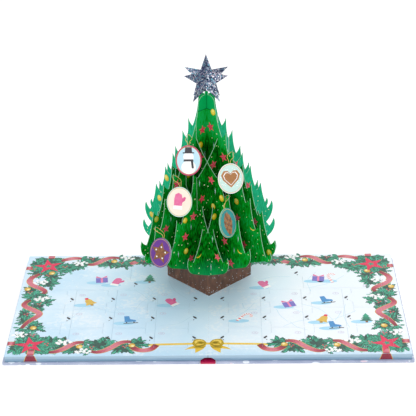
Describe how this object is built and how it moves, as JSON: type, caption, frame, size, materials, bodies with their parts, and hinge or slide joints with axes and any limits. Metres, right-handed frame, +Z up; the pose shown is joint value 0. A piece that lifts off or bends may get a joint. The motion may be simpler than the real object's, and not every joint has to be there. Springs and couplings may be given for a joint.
{
  "type": "pop-up advent calendar",
  "caption": "Open book calendar with a slotted card tree on a box trunk, a star, hanging oval ornaments and pages of small hinged doors over ornament pockets.",
  "frame": {"origin": "underside of the spine, at the middle of the page depth, on the table", "axes": "+X along the open book's width to its right page, +Y to the back, +Z up"},
  "size_m": [0.526, 0.2941, 0.341],
  "materials": {
    "spine_card": "satin lined card",
    "cover_board": "satin printed board",
    "tray_board": "matt board",
    "page_paper": "satin printed paper",
    "tree_card": "satin printed card",
    "trunk_card": "satin printed card",
    "star_foil": "glitter foil on card",
    "ornament_card_1": "satin printed card",
    "ornament_card_2": "satin printed card",
    "ornament_card_3": "satin printed card",
    "ornament_card_4": "satin printed card",
    "ornament_card_5": "satin printed card",
    "gold_cord": "metallic thread"
  },
  "bodies": {
    "spine": {"spine_board": "spine_card", "trunk_box": "trunk_card", "tree_slice_a1": "tree_card", "tree_slice_a2": "tree_card", "tree_slice_a3": "tree_card", "tree_slice_a4": "tree_card", "tree_slice_a5": "tree_card", "tree_slice_b1": "tree_card", "tree_slice_b2": "tree_card", "tree_slice_b3": "tree_card", "tree_slice_b4": "tree_card", "tree_slice_b5": "tree_card", "star_card_1": "star_foil", "star_card_2": "star_foil", "ornament_1": "ornament_card_1", "ornament_2": "ornament_card_2", "ornament_3": "ornament_card_3", "ornament_4": "ornament_card_4", "ornament_5": "ornament_card_5", "ornament_cord_1": "gold_cord", "ornament_cord_2": "gold_cord", "ornament_cord_3": "gold_cord", "ornament_cord_4": "gold_cord", "ornament_cord_5": "gold_cord"},
    "right_half": {"right_cover": "cover_board", "right_tray": "tray_board", "right_page": "page_paper", "right_stored_ornaments": "ornament_card_1"},
    "left_half": {"left_cover": "cover_board", "left_tray": "tray_board", "left_page": "page_paper", "left_stored_ornaments": "ornament_card_1"},
    "right_door_01": {"right_door_01": "page_paper"},
    "right_door_02": {"right_door_02": "page_paper"},
    "right_door_03": {"right_door_03": "page_paper"},
    "right_door_04": {"right_door_04": "page_paper"},
    "right_door_05": {"right_door_05": "page_paper"},
    "right_door_06": {"right_door_06": "page_paper"},
    "right_door_07": {"right_door_07": "page_paper"},
    "right_door_08": {"right_door_08": "page_paper"},
    "right_door_09": {"right_door_09": "page_paper"},
    "right_door_10": {"right_door_10": "page_paper"},
    "right_door_11": {"right_door_11": "page_paper"},
    "right_door_12": {"right_door_12": "page_paper"},
    "right_door_13": {"right_door_13": "page_paper"},
    "left_door_01": {"left_door_01": "page_paper"},
    "left_door_02": {"left_door_02": "page_paper"},
    "left_door_03": {"left_door_03": "page_paper"},
    "left_door_04": {"left_door_04": "page_paper"},
    "left_door_05": {"left_door_05": "page_paper"},
    "left_door_06": {"left_door_06": "page_paper"},
    "left_door_07": {"left_door_07": "page_paper"},
    "left_door_08": {"left_door_08": "page_paper"},
    "left_door_09": {"left_door_09": "page_paper"},
    "left_door_10": {"left_door_10": "page_paper"},
    "left_door_11": {"left_door_11": "page_paper"},
    "left_door_12": {"left_door_12": "page_paper"},
    "left_door_13": {"left_door_13": "page_paper"}
  },
  "joints": [
    {"name": "right_cover_hinge", "type": "hinge", "parent": "spine", "child": "right_half", "pos_m": [0.004, 0, 0.011], "axis": [0, -1, 0], "range_deg": [0, 90], "deforming": ["trunk_box", "tree_slice_a1", "tree_slice_a2", "tree_slice_a3", "tree_slice_a4", "tree_slice_a5", "tree_slice_b1", "tree_slice_b2", "tree_slice_b3", "tree_slice_b4", "tree_slice_b5", "star_card_1", "star_card_2", "ornament_1", "ornament_2", "ornament_3", "ornament_4", "ornament_5", "ornament_cord_1", "ornament_cord_2", "ornament_cord_3", "ornament_cord_4", "ornament_cord_5"]},
    {"name": "left_cover_hinge", "type": "hinge", "parent": "spine", "child": "left_half", "pos_m": [-0.004, 0, 0.011], "axis": [0, 1, 0], "range_deg": [0, 90]},
    {"name": "right_door_01_hinge", "type": "hinge", "parent": "right_half", "child": "right_door_01", "pos_m": [0.07, -0.0912, 0.012], "axis": [0, -1, 0], "range_deg": [-115, 0]},
    {"name": "right_door_02_hinge", "type": "hinge", "parent": "right_half", "child": "right_door_02", "pos_m": [0.1261, -0.0912, 0.012], "axis": [0, -1, 0], "range_deg": [-115, 0]},
    {"name": "right_door_03_hinge", "type": "hinge", "parent": "right_half", "child": "right_door_03", "pos_m": [0.1822, -0.0912, 0.012], "axis": [0, -1, 0], "range_deg": [-115, 0]},
    {"name": "right_door_04_hinge", "type": "hinge", "parent": "right_half", "child": "right_door_04", "pos_m": [0.2383, -0.0912, 0.012], "axis": [0, -1, 0], "range_deg": [-115, 0]},
    {"name": "right_door_05_hinge", "type": "hinge", "parent": "right_half", "child": "right_door_05", "pos_m": [0.07, -0.0412, 0.012], "axis": [0, -1, 0], "range_deg": [-115, 0]},
    {"name": "right_door_06_hinge", "type": "hinge", "parent": "right_half", "child": "right_door_06", "pos_m": [0.1261, -0.0412, 0.012], "axis": [0, -1, 0], "range_deg": [-115, 0]},
    {"name": "right_door_07_hinge", "type": "hinge", "parent": "right_half", "child": "right_door_07", "pos_m": [0.1822, -0.0412, 0.012], "axis": [0, -1, 0], "range_deg": [-115, 0]},
    {"name": "right_door_08_hinge", "type": "hinge", "parent": "right_half", "child": "right_door_08", "pos_m": [0.2383, -0.0412, 0.012], "axis": [0, -1, 0], "range_deg": [-115, 0]},
    {"name": "right_door_09_hinge", "type": "hinge", "parent": "right_half", "child": "right_door_09", "pos_m": [0.07, 0.0088, 0.012], "axis": [0, -1, 0], "range_deg": [-115, 0]},
    {"name": "right_door_10_hinge", "type": "hinge", "parent": "right_half", "child": "right_door_10", "pos_m": [0.1261, 0.0088, 0.012], "axis": [0, -1, 0], "range_deg": [-115, 0]},
    {"name": "right_door_11_hinge", "type": "hinge", "parent": "right_half", "child": "right_door_11", "pos_m": [0.1822, 0.0088, 0.012], "axis": [0, -1, 0], "range_deg": [-115, 0]},
    {"name": "right_door_12_hinge", "type": "hinge", "parent": "right_half", "child": "right_door_12", "pos_m": [0.2383, 0.0088, 0.012], "axis": [0, -1, 0], "range_deg": [-115, 0]},
    {"name": "right_door_13_hinge", "type": "hinge", "parent": "right_half", "child": "right_door_13", "pos_m": [0.2383, 0.0776, 0.012], "axis": [0, -1, 0], "range_deg": [-115, 0]},
    {"name": "left_door_01_hinge", "type": "hinge", "parent": "left_half", "child": "left_door_01", "pos_m": [-0.07, -0.0912, 0.012], "axis": [0, 1, 0], "range_deg": [-115, 0]},
    {"name": "left_door_02_hinge", "type": "hinge", "parent": "left_half", "child": "left_door_02", "pos_m": [-0.1261, -0.0912, 0.012], "axis": [0, 1, 0], "range_deg": [-115, 0]},
    {"name": "left_door_03_hinge", "type": "hinge", "parent": "left_half", "child": "left_door_03", "pos_m": [-0.1822, -0.0912, 0.012], "axis": [0, 1, 0], "range_deg": [-115, 0]},
    {"name": "left_door_04_hinge", "type": "hinge", "parent": "left_half", "child": "left_door_04", "pos_m": [-0.2383, -0.0912, 0.012], "axis": [0, 1, 0], "range_deg": [-115, 0]},
    {"name": "left_door_05_hinge", "type": "hinge", "parent": "left_half", "child": "left_door_05", "pos_m": [-0.07, -0.0412, 0.012], "axis": [0, 1, 0], "range_deg": [-115, 0]},
    {"name": "left_door_06_hinge", "type": "hinge", "parent": "left_half", "child": "left_door_06", "pos_m": [-0.1261, -0.0412, 0.012], "axis": [0, 1, 0], "range_deg": [-115, 0]},
    {"name": "left_door_07_hinge", "type": "hinge", "parent": "left_half", "child": "left_door_07", "pos_m": [-0.1822, -0.0412, 0.012], "axis": [0, 1, 0], "range_deg": [-115, 0]},
    {"name": "left_door_08_hinge", "type": "hinge", "parent": "left_half", "child": "left_door_08", "pos_m": [-0.2383, -0.0412, 0.012], "axis": [0, 1, 0], "range_deg": [-115, 0]},
    {"name": "left_door_09_hinge", "type": "hinge", "parent": "left_half", "child": "left_door_09", "pos_m": [-0.07, 0.0088, 0.012], "axis": [0, 1, 0], "range_deg": [-115, 0]},
    {"name": "left_door_10_hinge", "type": "hinge", "parent": "left_half", "child": "left_door_10", "pos_m": [-0.1261, 0.0088, 0.012], "axis": [0, 1, 0], "range_deg": [-115, 0]},
    {"name": "left_door_11_hinge", "type": "hinge", "parent": "left_half", "child": "left_door_11", "pos_m": [-0.1822, 0.0088, 0.012], "axis": [0, 1, 0], "range_deg": [-115, 0]},
    {"name": "left_door_12_hinge", "type": "hinge", "parent": "left_half", "child": "left_door_12", "pos_m": [-0.2383, 0.0088, 0.012], "axis": [0, 1, 0], "range_deg": [-115, 0]},
    {"name": "left_door_13_hinge", "type": "hinge", "parent": "left_half", "child": "left_door_13", "pos_m": [-0.2383, 0.0776, 0.012], "axis": [0, 1, 0], "range_deg": [-115, 0]}
  ],
  "couplings": [
    {"joint": "left_cover_hinge", "follows": "right_cover_hinge", "ratio": 1}
  ]
}
